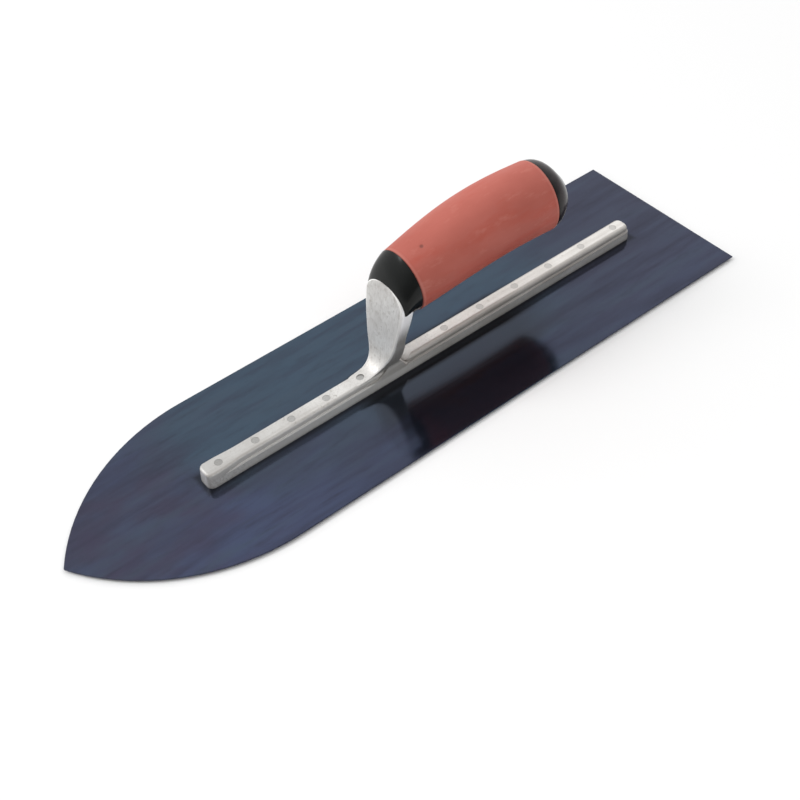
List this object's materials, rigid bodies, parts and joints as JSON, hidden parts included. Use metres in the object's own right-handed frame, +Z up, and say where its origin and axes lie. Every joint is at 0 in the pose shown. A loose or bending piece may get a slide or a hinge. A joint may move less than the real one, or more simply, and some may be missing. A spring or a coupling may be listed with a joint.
{
  "type": "steel finishing trowel",
  "caption": "Flat finishing trowel with a pointed toe and square heel, a riveted mounting bar, a leaf-shaped shank and a soft-grip handle, for smoothing concrete and plaster.",
  "frame": {"origin": "under the middle of the blade, on its working face", "axes": "+X from the pointed toe to the square heel, +Y to the left looking from the toe to the heel, +Z up through the handle"},
  "size_m": [0.4062, 0.1142, 0.0888],
  "materials": {
    "blued_steel": "tempered and blued, glossy, with faint lengthwise temper colours",
    "cast_aluminium": "cast and lightly brushed",
    "rivet_metal": "flush, matte",
    "core_plastic": "moulded",
    "black_plastic": "satin black",
    "red_rubber": "matte soft-touch",
    "bolt_steel": "plain steel"
  },
  "bodies": {
    "root": {"blade": "blued_steel", "mounting_bar": "cast_aluminium", "shank": "cast_aluminium", "front_rivets": "rivet_metal", "rear_rivets": "rivet_metal", "handle_core": "core_plastic", "front_collar": "black_plastic", "soft_grip": "red_rubber", "end_cap": "black_plastic", "handle_bolt": "bolt_steel", "bolt_washer": "bolt_steel"}
  },
  "joints": []
}
